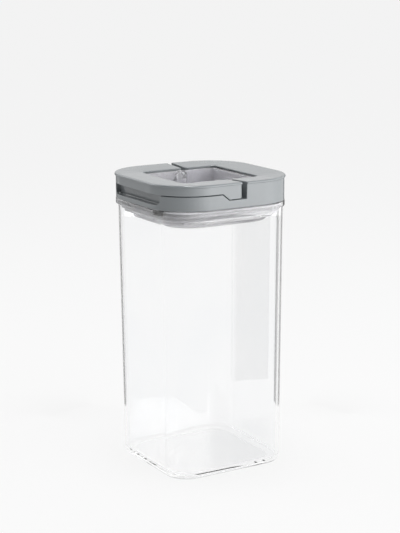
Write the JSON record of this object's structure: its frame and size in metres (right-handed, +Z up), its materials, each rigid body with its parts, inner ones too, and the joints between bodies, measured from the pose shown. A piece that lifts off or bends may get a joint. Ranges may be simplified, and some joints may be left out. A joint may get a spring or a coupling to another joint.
{
  "type": "lidded canister",
  "caption": "Tall square clear canister with rounded corners and a grey lid; its flip-up handle works a clear plunger and gasket that seal the mouth.",
  "frame": {"origin": "bottom centre of the base, on the surface it stands on", "axes": "+Z up to the lid; the handle's grip faces -Y and its two ears lie on +X and -X"},
  "size_m": [0.1096, 0.1096, 0.216],
  "materials": {
    "clear_jar": "polished, clear",
    "grey_lid": "smooth moulded, semi-gloss",
    "grey_handle": "smooth moulded, semi-gloss",
    "pale_crank": "moulded, natural",
    "clear_plunger": "polished, clear",
    "silicone": "translucent silicone"
  },
  "bodies": {
    "jar": {"container": "clear_jar"},
    "lid": {"lid_frame": "grey_lid", "lid_base": "grey_lid"},
    "handle": {"handle": "grey_handle", "crank_left": "pale_crank", "crank_right": "pale_crank"},
    "plunger": {"plunger": "clear_plunger", "gasket": "silicone"}
  },
  "joints": [
    {"name": "lid_lift", "type": "slide", "parent": "jar", "child": "lid", "axis": [0, 0, 1], "range_m": [0, 0.05]},
    {"name": "handle_flip", "type": "hinge", "parent": "lid", "child": "handle", "pos_m": [0, 0, 0.2102], "axis": [-1, 0, 0], "range_deg": [0, 90]},
    {"name": "plunger_drop", "type": "slide", "parent": "lid", "child": "plunger", "axis": [0, 0, 1], "range_m": [-0.0031, 0]}
  ],
  "couplings": [
    {"joint": "plunger_drop", "follows": "handle_flip", "m_per_rad": -0.0019}
  ]
}
